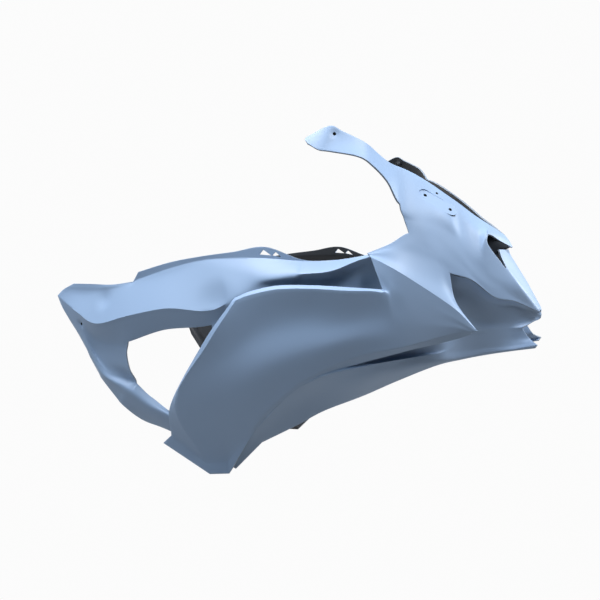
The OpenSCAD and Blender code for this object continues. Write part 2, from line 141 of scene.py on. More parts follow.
# The inner skin, from the nose back to the tip of the tail
SKIN_COLUMNS: Columns = (
    ((0, 1.002, 0.005, 0.53), (1, 1.003, 0.005, 0.52), (2, 1.001, 0.005, 0.51),
     (3, 0.993, 0.058, 0.505), (4, 0.985, 0.113, 0.499), (5, 0.976, 0.167, 0.493),
     (6, 0.98, 0.154, 0.48), (7, 0.988, 0.146, 0.464), (8, 0.995, 0.171, 0.457),
     (9, 1.001, 0.2, 0.451), (10, 0.998, 0.183, 0.441)),
    ((0, 0.966, 0.242, 0.56), (1, 0.965, 0.202, 0.549), (2, 0.965, 0.196, 0.539),
     (3, 0.961, 0.192, 0.521), (4, 0.957, 0.188, 0.504), (5, 0.953, 0.196, 0.489),
     (6, 0.955, 0.188, 0.474), (7, 0.958, 0.179, 0.458), (8, 0.963, 0.179, 0.445),
     (9, 0.965, 0.192, 0.435), (10, 0.963, 0.175, 0.429)),
    ((0, 0.937, 0.365, 0.572), (1, 0.933, 0.317, 0.559), (2, 0.931, 0.3, 0.547),
     (3, 0.928, 0.279, 0.527), (4, 0.925, 0.267, 0.507), (5, 0.924, 0.275, 0.488),
     (6, 0.924, 0.263, 0.471), (7, 0.924, 0.25, 0.454), (8, 0.924, 0.237, 0.437),
     (9, 0.924, 0.233, 0.423), (10, 0.922, 0.217, 0.416)),
    ((0, 0.903, 0.473, 0.616), (1, 0.899, 0.429, 0.599), (2, 0.895, 0.412, 0.583),
     (3, 0.892, 0.396, 0.551), (4, 0.889, 0.383, 0.52), (5, 0.888, 0.388, 0.49),
     (6, 0.887, 0.375, 0.47), (7, 0.886, 0.362, 0.45), (8, 0.885, 0.35, 0.43),
     (9, 0.885, 0.342, 0.411), (10, 0.883, 0.325, 0.404)),
    ((0, 0.869, 0.529, 0.634), (1, 0.865, 0.519, 0.616), (2, 0.862, 0.508, 0.598),
     (3, 0.859, 0.508, 0.563), (4, 0.857, 0.508, 0.527), (5, 0.856, 0.517, 0.494),
     (6, 0.855, 0.529, 0.469), (7, 0.856, 0.517, 0.438), (8, 0.855, 0.537, 0.43),
     (9, 0.853, 0.533, 0.41), (10, 0.849, 0.496, 0.394)),
    ((0, 0.8, 0.688, 0.7), (1, 0.801, 0.704, 0.693), (2, 0.804, 0.733, 0.678),
     (3, 0.802, 0.708, 0.637), (4, 0.804, 0.717, 0.588), (5, 0.806, 0.742, 0.539),
     (6, 0.803, 0.667, 0.491), (7, 0.8, 0.588, 0.42), (8, 0.805, 0.658, 0.417),
     (9, 0.793, 0.65, 0.385), (10, 0.784, 0.529, 0.345)),
    ((0, 0.744, 0.758, 0.678), (1, 0.746, 0.771, 0.674), (2, 0.748, 0.8, 0.671),
     (3, 0.745, 0.758, 0.636), (4, 0.746, 0.767, 0.586), (5, 0.748, 0.792, 0.536),
     (6, 0.75, 0.808, 0.484), (7, 0.75, 0.758, 0.411), (8, 0.758, 0.804, 0.404),
     (9, 0.746, 0.742, 0.361), (10, 0.726, 0.571, 0.298)),
    ((0, 0.679, 0.729, 0.664), (1, 0.68, 0.742, 0.66), (2, 0.691, 0.85, 0.638),
     (3, 0.685, 0.792, 0.598), (4, 0.685, 0.808, 0.557), (5, 0.684, 0.833, 0.507),
     (6, 0.682, 0.867, 0.456), (7, 0.674, 0.858, 0.408), (8, 0.678, 0.875, 0.367),
     (9, 0.656, 0.742, 0.305), (10, 0.654, 0.608, 0.245)),
    ((0, 0.623, 0.748, 0.665), (1, 0.623, 0.748, 0.661), (2, 0.635, 0.863, 0.628),
     (3, 0.628, 0.825, 0.593), (4, 0.627, 0.846, 0.544), (5, 0.623, 0.863, 0.486),
     (6, 0.619, 0.879, 0.423), (7, 0.608, 0.858, 0.358), (8, 0.611, 0.85, 0.302),
     (9, 0.595, 0.733, 0.242), (10, 0.6, 0.625, 0.193)),
    ((0, 0.551, 0.756, 0.698), (1, 0.552, 0.758, 0.667), (2, 0.568, 0.867, 0.618),
     (3, 0.567, 0.863, 0.591), (4, 0.565, 0.879, 0.54), (5, 0.556, 0.887, 0.475),
     (6, 0.546, 0.883, 0.397), (7, 0.534, 0.846, 0.313), (8, 0.537, 0.767, 0.191),
     (9, 0.521, 0.7, 0.15), (10, 0.524, 0.625, 0.124)),
    ((0, 0.482, 0.758, 0.684), (1, 0.484, 0.758, 0.667), (2, 0.501, 0.829, 0.623),
     (3, 0.512, 0.9, 0.564), (4, 0.507, 0.883, 0.531), (5, 0.5, 0.887, 0.469),
     (6, 0.482, 0.85, 0.38), (7, 0.46, 0.775, 0.265), (8, 0.443, 0.654, 0.047),
     (9, 0.452, 0.633, 0.033), (10, 0.46, 0.608, 0.023)),
    ((0, 0.411, 0.762, 0.671), (1, 0.413, 0.76, 0.66), (2, 0.421, 0.796, 0.631),
     (3, 0.452, 0.929, 0.521), (4, 0.45, 0.879, 0.477), (5, 0.455, 0.887, 0.421),
     (6, 0.424, 0.838, 0.341), (7, 0.355, 0.738, 0.178), (8, 0.35, 0.771, 0.162),
     (9, 0.338, 0.75, 0.138), (10, 0.324, 0.717, 0.114)),
    ((0, 0.334, 0.769, 0.652), (1, 0.333, 0.767, 0.634), (2, 0.339, 0.804, 0.602),
     (3, 0.354, 0.925, 0.519), (4, 0.331, 0.854, 0.449), (7, 0.276, 0.754, 0.222),
     (8, 0.275, 0.8, 0.204), (9, 0.262, 0.779, 0.175), (10, 0.241, 0.725, 0.138)),
    ((0, 0.25, 0.773, 0.62), (1, 0.245, 0.767, 0.596), (2, 0.246, 0.8, 0.57),
     (3, 0.258, 0.912, 0.491), (4, 0.231, 0.838, 0.4), (5, 0.223, 0.829, 0.36),
     (6, 0.228, 0.817, 0.308), (7, 0.237, 0.779, 0.265), (8, 0.232, 0.825, 0.241),
     (9, 0.215, 0.804, 0.212), (10, 0.199, 0.775, 0.18)),
    ((0, 0.234, 0.767, 0.589), (1, 0.233, 0.771, 0.584), (2, 0.226, 0.798, 0.564),
     (3, 0.229, 0.908, 0.48), (4, 0.204, 0.833, 0.4), (5, 0.198, 0.821, 0.366),
     (6, 0.2, 0.812, 0.317), (7, 0.212, 0.783, 0.274), (8, 0.205, 0.825, 0.255),
     (9, 0.191, 0.804, 0.232), (10, 0.175, 0.775, 0.208)),
    ((0, 0.175, 0.771, 0.577), (1, 0.173, 0.775, 0.571), (2, 0.161, 0.792, 0.543),
     (3, 0.15, 0.89, 0.453), (4, 0.135, 0.817, 0.404), (5, 0.134, 0.804, 0.369),
     (6, 0.139, 0.8, 0.333), (7, 0.161, 0.808, 0.292), (8, 0.157, 0.825, 0.278),
     (9, 0.148, 0.804, 0.265), (10, 0.139, 0.783, 0.26)),
    ((0, 0.117, 0.777, 0.576), (1, 0.111, 0.779, 0.567), (2, 0.095, 0.79, 0.539),
     (3, 0.084, 0.85, 0.485), (4, 0.092, 0.833, 0.443), (5, 0.098, 0.825, 0.415),
     (6, 0.107, 0.823, 0.384), (7, 0.118, 0.821, 0.348), (8, 0.126, 0.817, 0.316),
     (9, 0.13, 0.8, 0.293), (10, 0.128, 0.779, 0.28)),
    ((0, 0.062, 0.783, 0.575), (1, 0.048, 0.787, 0.566), (2, 0.03, 0.792, 0.553),
     (3, 0.012, 0.796, 0.532), (4, 0.026, 0.8, 0.495), (5, 0.043, 0.8, 0.462),
     (6, 0.056, 0.798, 0.438), (7, 0.069, 0.796, 0.415), (8, 0.079, 0.792, 0.394),
     (9, 0.089, 0.785, 0.372), (10, 0.103, 0.779, 0.33)),
)

# The lamp blank, from the centre line out
BLANK_COLUMNS: Columns = (
    ((0, 0.9405, 0, 0.72), (1, 0.947, 0, 0.6985), (2, 0.9335, 0, 0.687)),
    ((0, 0.934, 0.132, 0.717), (1, 0.9405, 0.14, 0.6965), (2, 0.9325, 0.15, 0.686)),
    ((0, 0.924, 0.226, 0.73), (1, 0.914, 0.285, 0.697), (2, 0.93, 0.27, 0.638)),
    ((0, 0.9135, 0.275, 0.737), (1, 0.903, 0.333, 0.697), (2, 0.921, 0.325, 0.638)),
    ((0, 0.8975, 0.303, 0.737), (1, 0.903, 0.357, 0.703), (2, 0.917, 0.387, 0.645)),
)


class Side(Enum):
    """The two sides of the motorcycle, by the sign of their half widths on Y."""

    RIGHT = -1
    LEFT = 1


class Face(Enum):
    """Which finish a face of a shell takes, as its place in the material list."""

    OUTSIDE = 0
    INSIDE = 1
    EDGE = 2


# Lattices


def smooth_step(value: Grid) -> Grid:
    """Returns 0 below 0, 1 above 1, and 3v squared less 2v cubed between."""
    v = np.clip(value, 0.0, 1.0)
    return v * v * (3.0 - 2.0 * v)


def unit(vectors: Grid) -> Grid:
    """Returns vectors over their lengths; a zero vector stays zero."""
    size = np.linalg.norm(vectors, axis=-1, keepdims=True)
    return np.divide(vectors, size, out=np.zeros_like(vectors), where=size > TINY)


def cubic_through(points: Grid, folds: Grid, steps: int) -> Grid:
    """Runs a cubic through control points along their first axis.

    Between b and c the curve leaves b with the slope (c - a) / 2 and reaches c
    with (d - b) / 2. At an end or a fold, a is 2b - c and d is 2c - b.

    Args:
        points: Control points, lines by strands by 3, not-a-number where missing.
        folds: True at the points where the curve breaks, lines by strands.
        steps: Fine steps between two control points.

    Returns:
        The fine points, (lines - 1) * steps + 1 by strands by 3.
    """
    lines, strands, _ = points.shape
    fine = np.full(((lines - 1) * steps + 1, strands, 3), np.nan)
    t = (np.arange(steps) / steps)[:, None, None]
    s = 1.0 - t
    missing = np.isnan(points[..., 0])
    for k in range(lines - 1):
        b, c = points[k], points[k + 1]
        a, d = 2.0 * b - c, 2.0 * c - b
        if k > 0:
            a = np.where((folds[k] | missing[k - 1])[:, None], a, points[k - 1])
        if k + 2 < lines:
            d = np.where((folds[k + 1] | missing[k + 2])[:, None], d, points[k + 2])
        start, end = (c - a) / 2.0, (d - b) / 2.0
        fine[k * steps:(k + 1) * steps] = (
            (1 + 2 * t) * s * s * b + t * s * s * start
            + t * t * (3 - 2 * t) * c - t * t * s * end
        )
        fine[k * steps] = b
    fine[-1] = points[-1]
    return fine


@dataclass(frozen=True)
class Lattice:
    """Control points of one moulding's right side, or right half.

    Attributes:
        columns: Control points by column; each is its row and three shares.
        rows: Number of rows.
        gaps: Open cells as (first column, end column, first row, end row).
        row_folds: Creases along rows, as (row, first column, last column).
        column_folds: Creases along columns, as (column, first row, last row).
        mirrored: True where the first column is the centre line of a piece
            that spans both sides.
        steps: Fine steps in each cell, along the columns and down the rows.
    """

    columns: Columns
    rows: int
    gaps: tuple[tuple[int, int, int, int], ...] = ()
    row_folds: tuple[tuple[float, float, float], ...] = ()
    column_folds: tuple[tuple[float, float, float], ...] = ()
    mirrored: bool = False
    steps: tuple[int, int] = (10, 10)

    def control(self) -> Grid:
        """Returns the control points in millimetres, columns by rows by 3."""
        points = np.full((len(self.columns), self.rows, 3), np.nan)
        for index, column in enumerate(self.columns):
            table = np.array(column, dtype=float)
            points[index, table[:, 0].astype(int)] = np.stack([
                (table[:, 1] - MID_SHARE) * FAIRING_LEN,
                -table[:, 2] * HALF_WIDTH,
                (table[:, 3] - LOW_SHARE) * FAIRING_HEIGHT,
            ], axis=1)
        return points

    def fine(self) -> Grid:
        """Returns the fine grid of the right side, columns by rows by 3."""
        points = self.control()
        lead = 1 if self.mirrored else 0
        if self.mirrored:
            points = np.concatenate([points[1:2] * (1, -1, 1), points])
        folds = np.zeros(points.shape[:2], dtype=bool)
        for column, first, last in self.column_folds:
            folds[int(column) + lead, int(first):int(last) + 1] = True
        along = cubic_through(points, folds, self.steps[0])[lead * self.steps[0]:]
        at = np.arange(len(along)) / self.steps[0]
        folds = np.zeros((self.rows, len(along)), dtype=bool)
        for row, first, last in self.row_folds:
            folds[int(row)] |= (at >= first) & (at <= last)
        return cubic_through(along.transpose(1, 0, 2), folds, self.steps[1]).transpose(1, 0, 2)

    def whole(self) -> tuple[Grid, int]:
        """Returns the grid with its mirrored half, and the column of its middle."""
        half = self.fine()
        if not self.mirrored:
            return half, 0
        other = half[:0:-1] * (1, -1, 1)
        return np.concatenate([other, half]), len(other)

    def cells(self, grid: Grid, middle: int) -> Grid:
        """Tells which cells of the fine grid are part of the skin.

        Args:
            grid: The fine grid.
            middle: Its column on the centre line.

        Returns:
            True for each cell with four corners that lies in no gap.
        """
        full = ~np.isnan(grid[..., 0])
        solid = full[:-1, :-1] & full[1:, :-1] & full[:-1, 1:] & full[1:, 1:]
        i = np.arange(len(grid) - 1)
        column = np.where(i < middle, middle - 1 - i, i - middle) // self.steps[0]
        row = np.arange(grid.shape[1] - 1) // self.steps[1]
        for left, right, top, bottom in self.gaps:
            across = (column >= left) & (column < right)
            down = (row >= top) & (row < bottom)
            solid &= ~(across[:, None] & down[None, :])
        return solid


class Skin:
    """A fine grid with its cells, its outward directions and its wall."""

    def __init__(self, lattice: Lattice, wall: float) -> None:
        """Works out the grid of a lattice.

        Args:
            lattice: The control points.
            wall: Thickness of the moulding, in millimetres.
        """
        self.lattice = lattice
        self.wall = wall
        self.grid, self.middle = lattice.whole()
        self.cells = lattice.cells(self.grid, self.middle)
        self.normals = self.outward()

    def outward(self) -> Grid:
        """Returns the unit normals: along the columns crossed with down the rows.

        Each difference uses the neighbours that a cell joins to the point, so
        it is one-sided at an edge.
        """
        g, c = np.nan_to_num(self.grid), self.cells
        pad = np.pad(c, 1)
        join_c = pad[:, :-1] | pad[:, 1:]
        join_r = pad[:-1, :] | pad[1:, :]
        ahead = np.concatenate([g[1:], g[-1:]])
        behind = np.concatenate([g[:1], g[:-1]])
        below = np.concatenate([g[:, 1:], g[:, -1:]], axis=1)
        above = np.concatenate([g[:, :1], g[:, :-1]], axis=1)
        along = (np.where(join_c[1:, :, None], ahead, g)
                 - np.where(join_c[:-1, :, None], behind, g))
        down = (np.where(join_r[:, 1:, None], below, g)
                - np.where(join_r[:, :-1, None], above, g))
        return unit(np.cross(along, down))

    def dent(self, column: float, row: float, radius: float, depth: float) -> None:
        """Presses a round bowl into the skin.

        The depth at a distance r is depth times the smooth step of 1 - r/radius.

        Args:
            column: Control column of the middle, on the right side.
            row: Control row of the middle.
            radius: Where the bowl ends, in millimetres.
            depth: Its depth, in millimetres.
        """
        for sign in ((1, -1) if self.lattice.mirrored else (1,)):
            spot = self.grid[self.index(column, sign), self.line(row)]
            away = np.linalg.norm(np.nan_to_num(self.grid, nan=FAR) - spot, axis=-1)
            push = depth * smooth_step(1.0 - away / radius)
            self.grid -= push[..., None] * self.normals
        self.normals = self.outward()

    def index(self, column: float, sign: int = 1) -> int:
        """Returns the fine column of a control column, right side for sign 1."""
        return self.middle + sign * int(round(column * self.lattice.steps[0]))

    def line(self, row: float) -> int:
        """Returns the fine row of a control row."""
        return int(round(row * self.lattice.steps[1]))

    def seat(self, column: float, row: float, sign: int = 1) -> Matrix:
        """Returns the frame of a spot: +Z outward, +X along the columns.

        Args:
            column: Control column.
            row: Control row.
            sign: 1 on the right side, -1 on the left of a mirrored piece.

        Returns:
            The frame, in millimetres.
        """
        i, j = self.index(column, sign), self.line(row)
        n = self.normals[i, j]
        along = self.grid[i + 1, j] - self.grid[i - 1, j]
        x = along - along.dot(n) * n
        x /= np.linalg.norm(x)
        frame_of_spot = np.eye(4)
        frame_of_spot[:3, :3] = np.stack([x, np.cross(n, x), n], axis=1)
        frame_of_spot[:3, 3] = self.grid[i, j]
        return Matrix(frame_of_spot.tolist())

    def mesh(self, name: str, painted: float = 0.0) -> bpy.types.Mesh:
        """Closes the skin into a shell.

        The inner face is the outer grid moved in by the wall along the normals,
        and a rim of quads joins the two along every edge of the cells.

        Args:
            name: Name of the new mesh.
            painted: Control column up to which the spray reaches the inner face.

        Returns:
            The mesh in metres, with the three finishes on its faces.
        """
        wide, deep = self.grid.shape[:2]
        inner = wide * deep
        outer = np.nan_to_num(self.grid)
        verts = np.concatenate([
            outer.reshape(-1, 3), (outer - self.wall * self.normals).reshape(-1, 3)]) * MM
        i, j = np.nonzero(self.cells)
        a = i * deep + j
        b, c, d = a + deep, a + deep + 1, a + 1
        pad = np.pad(self.cells, 1)
        up, down = pad[i + 1, j], pad[i + 1, j + 2]
        fore, aft = pad[i + 2, j + 1], pad[i, j + 1]
        quads = [np.stack([a, b, c, d], 1), np.stack([a, d, c, b], 1) + inner]
        sprayed = i < painted * self.lattice.steps[0]
        kinds = [np.full(len(a), Face.OUTSIDE.value),
                 np.where(sprayed, Face.OUTSIDE.value, Face.INSIDE.value)]
        for p, q, met in ((a, b, up), (b, c, fore), (c, d, down), (d, a, aft)):
            p, q = p[~met], q[~met]
            quads.append(np.stack([p, p + inner, q + inner, q], 1))
            kinds.append(np.full(len(p), Face.EDGE.value))
        faces = np.concatenate(quads)
        used, packed = np.unique(faces, return_inverse=True)
        return new_mesh(name, verts[used], packed.reshape(faces.shape), np.concatenate(kinds))


# Meshes


def read(items: Any, key: str, width: int, kind: type = float) -> Grid:
    """Reads one property of a mesh's vertices, loops or faces.

    Args:
        items: The vertices, loops or faces.
        key: Name of the property.
        width: Values in each item.
        kind: Type of a value.

    Returns:
        The values in one row.
    """
    values = np.empty(len(items) * width, dtype=kind)
    items.foreach_get(key, values)
    return values


def mesh_from(name: str, verts: Grid, corners: Grid, sizes: Grid, kinds: Grid
              ) -> bpy.types.Mesh:
    """Puts flat arrays into a mesh.

    Args:
        name: Name of the mesh.
        verts: Vertices in metres.
        corners: Vertex numbers of all faces in one row, each turning left seen
            from outside.
        sizes: Number of corners of each face. A face starts where the ones
            before it end.
        kinds: Material number of each face.

    Returns:
        The mesh.
    """
    mesh = bpy.data.meshes.new(name)
    mesh.vertices.add(len(verts))
    mesh.vertices.foreach_set("co", np.asarray(verts, dtype=np.float32).ravel())
    mesh.loops.add(len(corners))
    mesh.loops.foreach_set("vertex_index", corners.astype(np.int32))
    mesh.polygons.add(len(sizes))
    starts = np.cumsum(sizes) - sizes
    mesh.polygons.foreach_set("loop_start", starts.astype(np.int32))
    mesh.polygons.foreach_set("material_index", kinds.astype(np.int32))
    mesh.update(calc_edges=True)
    mesh.validate()
    return mesh


def new_mesh(name: str, verts: Grid, quads: Grid, kinds: Grid) -> bpy.types.Mesh:
    """Puts vertices and quads into a mesh that is shaded smooth.

    Args:
        name: Name of the mesh.
        verts: Vertices in metres.
        quads: Four vertex numbers for each face, turning left seen from outside.
        kinds: Material number of each face.

    Returns:
        The mesh.
    """
    mesh = mesh_from(name, verts, quads.ravel(), np.full(len(quads), 4), kinds)
    mesh.shade_smooth()
    return mesh


def prism(name: str, outline: Grid, low: float, high: float, place: Matrix,
          side: Face = Face.OUTSIDE) -> bpy.types.Mesh:
    """Makes a closed prism over an outline, in the frame of a spot.

    Its top takes the outside finish.

    Args:
        name: Name of the mesh.
        outline: Corners in millimetres, turning left seen from +Z.
        low: Its bottom on Z, in millimetres.
        high: Its top on Z.
        place: Frame of the spot, in millimetres.
        side: Finish of its walls and its bottom.

    Returns:
        The prism in metres.
    """
    count = len(outline)
    base = np.column_stack([outline, np.full(count, low)])
    lid = np.column_stack([outline, np.full(count, high)])
    spot = np.array(place)
    verts = (np.concatenate([base, lid]) @ spot[:3, :3].T + spot[:3, 3]) * MM
    k = np.arange(count)
    after = (k + 1) % count
    walls = np.stack([k, after, after + count, k + count], 1)
    return mesh_from(name, verts, np.concatenate([walls.ravel(), k[::-1], k + count]),
                     np.array([4] * count + [count] * 2),
                     np.array([side.value] * (count + 1) + [Face.OUTSIDE.value]))


def circle(diameter: float, sides: int = 40) -> Grid:
    """Returns the corners of a circle round 0, 0."""
    turn = np.arange(sides) * 2 * math.pi / sides
    return np.column_stack([np.cos(turn), np.sin(turn)]) * diameter / 2


def stadium(pitch: float, width: float, sides: int = 20) -> Grid:
    """Returns the outline round two circles a pitch apart on X."""
    turn = np.linspace(-math.pi / 2, math.pi / 2, sides)
    end = np.column_stack([np.cos(turn), np.sin(turn)]) * width / 2
    return np.concatenate([end + (pitch / 2, 0), -end - (pitch / 2, 0)])


def joined(name: str, meshes: Sequence[bpy.types.Mesh]) -> bpy.types.Object:
    """Puts several closed meshes into one helper object.

    Args:
        name: Name of the helper.
        meshes: The meshes, which keep their material numbers.

    Returns:
        The helper, linked to the scene.
    """
    verts, corners, sizes, kinds, start = [], [], [], [], 0
    for mesh in meshes:
        verts.append(read(mesh.vertices, "co", 3).reshape(-1, 3))
        corners.append(read(mesh.loops, "vertex_index", 1, np.int32) + start)
        sizes.append(read(mesh.polygons, "loop_total", 1, np.int32))
        kinds.append(read(mesh.polygons, "material_index", 1, np.int32))
        start += len(mesh.vertices)
    whole = mesh_from(name, np.concatenate(verts), np.concatenate(corners),
                      np.concatenate(sizes), np.concatenate(kinds))
    helper = bpy.data.objects.new(name, whole)
    bpy.context.collection.objects.link(helper)
    return helper


def hole(diameter: float, reach: Reach, place: Matrix, off: float = 0.0) -> bpy.types.Mesh:
    """Makes the cutter of a round hole, dark inside.

    Args:
        diameter: The hole's diameter, in millimetres.
        reach: Where the cutter starts and ends on Z.
        place: Frame of the spot.
        off: How far the hole lies from the spot on its X.

    Returns:
        The cutter.
    """
    return prism("hole", circle(diameter) + (off, 0), *reach, place, Face.INSIDE)


def sleeve(bore: float, length: float, place: Matrix) -> bpy.types.Mesh:
    """Makes the rod that becomes a screw's sleeve once its hole is cut.

    Args:
        bore: Diameter of the hole, in millimetres.
        length: How far the sleeve reaches in behind the paint.
        place: Frame of the spot.

    Returns:
        The rod.
    """
    return prism("sleeve", circle(bore + 2 * SLEEVE_WALL), -length, -SLEEVE_START, place,
                 Face.INSIDE)


class Trim(Enum):
    """What a helper does to a shell."""

    CUT = "DIFFERENCE"
    ADD = "UNION"


def finish_shell(piece: bpy.types.Object, helpers: Sequence[tuple[Trim, bpy.types.Object]],
                 round_edge: float = 0.7, rim_angle: float = 55.0,
                 crease: float = 32.0) -> None:
    """Rounds the rim, applies the helpers and shades the result.

    Args:
        piece: The shell.
        helpers: Cutters and pads, in the order in which they act.
        round_edge: Width of the rounding on the rim, in millimetres.
        rim_angle: Angle in degrees past which an edge is rounded.
        crease: Angle in degrees past which an edge stays sharp.
    """
    bevel = piece.modifiers.new("rim", "BEVEL")
    bevel.limit_method = "ANGLE"
    bevel.angle_limit = math.radians(rim_angle)
    bevel.width = round_edge * MM
    bevel.segments = 2
    bevel.use_clamp_overlap = False
    for trim, helper in helpers:
        for material in piece.data.materials:
            helper.data.materials.append(material)
        step = piece.modifiers.new(helper.name, "BOOLEAN")
        step.operation = trim.value
        step.object = helper
        step.solver = "EXACT"
    shaped = bpy.data.meshes.new_from_object(
        piece.evaluated_get(bpy.context.evaluated_depsgraph_get()))
    piece.modifiers.clear()
    old = piece.data
    piece.data = shaped
    shaped.name = old.name
    shaped.shade_smooth()
    shaped.set_sharp_from_angle(angle=math.radians(crease))
    for _, helper in helpers:
        bpy.data.objects.remove(helper, do_unlink=True)
    LOG.info("%s: %d faces", piece.name, len(shaped.polygons))


# Finishes

Value = Union["Sock", float, tuple[float, ...]]


class Sock:
    """A node socket that adds Math nodes when it is used in an expression."""

    def __init__(self, tree: "Tree", out: Optional[bpy.types.NodeSocket]) -> None:
        """Keeps the tree and the output socket."""
        self.tree = tree
        self.out = out

    def math(self, operation: str, *others: Value) -> "Sock":
        """Returns a Math node of that operation on this value and the others."""
        return self.tree.node("ShaderNodeMath", {"operation": operation}, self, *others)

    def __add__(self, other: Value) -> "Sock":
        """Returns this value plus the other."""
        return self.math("ADD", other)

    __radd__ = __add__

    def __mul__(self, other: Value) -> "Sock":
        """Returns this value times the other."""
        return self.math("MULTIPLY", other)

    __rmul__ = __mul__


class Tree:
    """The nodes of a material or of the world, made one at a time by one method."""

    def __init__(self, owner: Union[bpy.types.Material, bpy.types.World]) -> None:
        """Takes up the node tree of its owner, emptied."""
        owner.use_nodes = True
        self.nodes = owner.node_tree.nodes
        self.links = owner.node_tree.links
        self.nodes.clear()

    def node(self, kind: str, settings: Optional[dict[str, Any]] = None, *values: Value,
             take: Union[int, str] = 0, at: Optional[dict[int, Value]] = None,
             **named: Value) -> Sock:
        """Adds a node.

        Args:
            kind: The node's type.
            settings: What is set on the node before its sockets, such as its
                operation.
            *values: Values or links of its first sockets, in order.
            take: The output that the caller wants.
            at: Values or links by socket number.
            **named: Values or links by socket name, with _ for a space.

        Returns:
            The wanted output.
        """
        made = self.nodes.new(kind)
        for key, value in (settings or {}).items():
            setattr(made, key, value)
        wanted = [*enumerate(values), *(at or {}).items()]
        wanted += [(k.replace("_", " "), v) for k, v in named.items()]
        for key, value in wanted:
            socket = made.inputs[key]
            if isinstance(value, Sock):
                self.links.new(value.out, socket)
            else:
                socket.default_value = value
        return Sock(self, made.outputs[take] if len(made.outputs) else None)

    def noise(self, scale: float, detail: float = 3.0) -> Sock:
        """Returns a noise value on Object coordinates."""
        where = self.node("ShaderNodeTexCoord", take="Object")
        return self.node("ShaderNodeTexNoise", {}, take="Fac", Vector=where, Scale=scale,
                         Detail=detail)

    def mix(self, factor: Value, first: Value, second: Value) -> Sock:
        """Returns the colour between first and second, at sockets 6 and 7 of Mix."""
        return self.node("ShaderNodeMix", {"data_type": "RGBA"}, factor, take=2,
                         at={6: first, 7: second})


@dataclass(frozen=True)
class Finish:
    """A plain moulded or painted finish with a faint drift of tone.

    Attributes:
        name: Name of the material.
        colour: Base colour.
        drift: Second colour that the noise mixes in.
        roughness: Roughness of the surface.
        spread: How much the roughness varies.
        grain: Strength of the fine grain's bump.
        shine: Specular level.
        cloud_scale: Scale of the noise behind the drift.
        grain_scale: Scale of the noise behind the grain.
        grain_depth: Height of the grain, in metres.
    """

    name: str
    colour: tuple[float, float, float]
    drift: tuple[float, float, float]
    roughness: float
    spread: float = 0.05
    grain: float = 0.0
    shine: float = 0.5
    cloud_scale: float = 5.0
    grain_scale: float = 900.0
    grain_depth: float = 0.0004

    def material(self) -> bpy.types.Material:
        """Builds the material.

        The colour and the roughness drift with one soft noise, and a fine noise
        raises the grain.

        Returns:
            The material.
        """
        made = bpy.data.materials.new(self.name)
        tree = Tree(made)
        cloud = tree.noise(self.cloud_scale)
        colour = tree.mix(cloud, (*self.colour, 1.0), (*self.drift, 1.0))
        settings: dict[str, Value] = {
            "Base_Color": colour,
            "Roughness": cloud * self.spread + (self.roughness - self.spread / 2),
            "Specular_IOR_Level": self.shine,
        }
        if self.grain:
            settings["Normal"] = tree.node(
                "ShaderNodeBump", {}, Strength=self.grain, Distance=self.grain_depth,
                Height=tree.noise(self.grain_scale, 2.0))
        surface = tree.node("ShaderNodeBsdfPrincipled", {}, **settings)
        tree.node("ShaderNodeOutputMaterial", {}, surface)
        return made


@dataclass(frozen=True)
class Palette:
    """The finishes of the fairing."""

    paint: Finish = Finish(
        "satin pale blue paint", (0.315, 0.455, 0.69), (0.33, 0.47, 0.70), roughness=0.5)
    inside: Finish = Finish(
        "charcoal moulding", (0.022, 0.026, 0.034), (0.03, 0.034, 0.042),
        roughness=0.55, spread=0.1, grain=0.25)
    edge: Finish = Finish(
        "painted edge", (0.25, 0.31, 0.40), (0.27, 0.33, 0.42), roughness=0.5)
    blank: Finish = Finish(
        "matt dark plastic", (0.009, 0.013, 0.019), (0.012, 0.016, 0.023),
        roughness=0.8, spread=0.1, grain=0.2, shine=0.1)
    made: dict[str, bpy.types.Material] = field(default_factory=dict)

    def get(self, finish: Finish) -> bpy.types.Material:
        """Returns the material of a finish, made once."""
        if finish.name not in self.made:
            self.made[finish.name] = finish.material()
        return self.made[finish.name]

    def dress(self, piece: bpy.types.Object, outside: Finish) -> None:
        """Gives a shell its outside, inside and edge finishes.

        Args:
            piece: The shell.
            outside: Its outside finish. Only paint shows its own edge.
        """
        edge = self.edge if outside is self.paint else outside
        for finish in (outside, self.inside, edge):
            piece.data.materials.append(self.get(finish))


# Sub-assemblies


def place_piece(mesh: bpy.types.Mesh, name: str) -> bpy.types.Object:
    """Links a mesh as an object at the origin."""
    piece = bpy.data.objects.new(name, mesh)
    bpy.context.collection.objects.link(piece)
    return piece


def stand_in(piece: bpy.types.Object, node: str) -> None:
    """Makes the piece stand for its CAD node and ride on the body."""
    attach(piece, "root")
    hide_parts(node)


